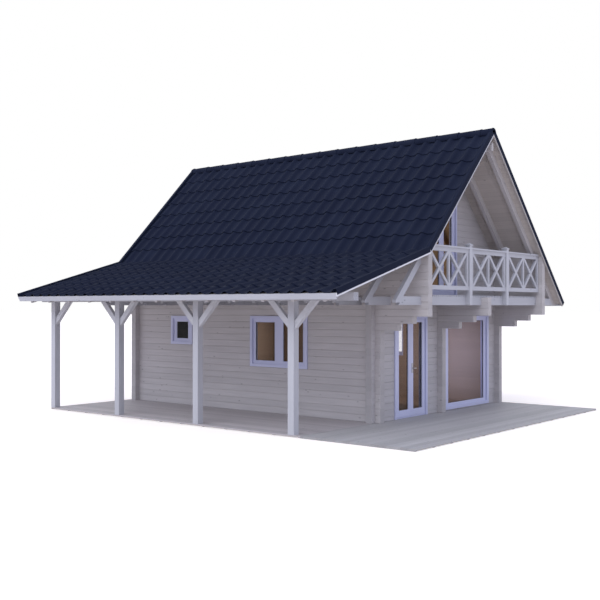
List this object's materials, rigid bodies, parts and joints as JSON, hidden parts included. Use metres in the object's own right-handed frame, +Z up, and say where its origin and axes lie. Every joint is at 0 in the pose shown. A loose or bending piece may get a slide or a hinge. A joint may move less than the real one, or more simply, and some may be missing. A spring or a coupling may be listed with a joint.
{
  "type": "log house with veranda, balcony and decking",
  "caption": "Gabled log house with a loft balcony under the front gable, a roofed veranda along one side, tiled roof, double front door and wooden decking.",
  "frame": {"origin": "on the ground below the ridge, midway between the front and back walls, on the underside of the ground floor", "axes": "+X to the right across the front gable, +Y from the front to the back, +Z up"},
  "size_m": [9.058, 10.157, 6.0777],
  "materials": {
    "log_wood": "pale grey-beige washed logs, matte",
    "pale_paint": "pale grey paint on planed wood, satin",
    "white_frame": "white paint with a cool tint, satin",
    "decking": "pale weathered deck boards, matte",
    "inner_wood": "warm varnished pine inside, satin",
    "roof_boarding": "washed underside boards, matte",
    "roof_tile": "dark blue-black pressed tile sheet, low sheen",
    "pane": "clear glass",
    "handle_metal": "satin steel"
  },
  "bodies": {
    "house": {"ground_floor": "inner_wood", "front_deck": "decking", "veranda_deck": "decking", "left_wall": "log_wood", "right_wall": "log_wood", "left_wall_top": "log_wood", "right_wall_top": "log_wood", "front_wall": "log_wood", "front_wall_head": "log_wood", "back_wall": "log_wood", "front_gable": "log_wood", "back_gable": "log_wood", "middle_log_ends": "log_wood", "middle_corbel": "log_wood", "middle_girder": "log_wood", "tie_beams": "log_wood", "left_rafters": "log_wood", "right_rafters": "log_wood", "ridge_beam": "log_wood", "loft_floor": "inner_wood", "balcony_floor": "decking", "left_roof_boards": "roof_boarding", "right_roof_boards": "roof_boarding", "veranda_roof_boards": "roof_boarding", "left_roof_tiles": "roof_tile", "right_roof_tiles": "roof_tile", "veranda_roof_tiles": "roof_tile", "ridge_cap": "roof_tile", "left_barge_boards": "pale_paint", "right_barge_boards": "pale_paint", "veranda_barge_boards": "pale_paint", "fascia_boards": "pale_paint", "veranda_posts": "pale_paint", "veranda_beam": "pale_paint", "veranda_braces": "pale_paint", "veranda_rafters": "log_wood", "window_frames": "white_frame", "window_glass": "pane", "balcony_door": "white_frame", "balcony_door_glass": "pane", "front_door_frame": "white_frame", "railing_posts": "pale_paint", "balcony_railing": "pale_paint"},
    "door_leaf_left": {"left_door_leaf": "white_frame", "left_door_glass": "pane"},
    "door_leaf_right": {"right_door_leaf": "white_frame", "right_door_glass": "pane", "door_handle": "handle_metal"}
  },
  "joints": [
    {"name": "left_leaf_swing", "type": "hinge", "parent": "house", "child": "door_leaf_left", "pos_m": [-1.8075, -3.578, 0.04], "axis": [0, 0, -1], "range_deg": [0, 100]},
    {"name": "right_leaf_swing", "type": "hinge", "parent": "house", "child": "door_leaf_right", "pos_m": [-0.7225, -3.578, 0.04], "axis": [0, 0, 1], "range_deg": [0, 100]}
  ]
}
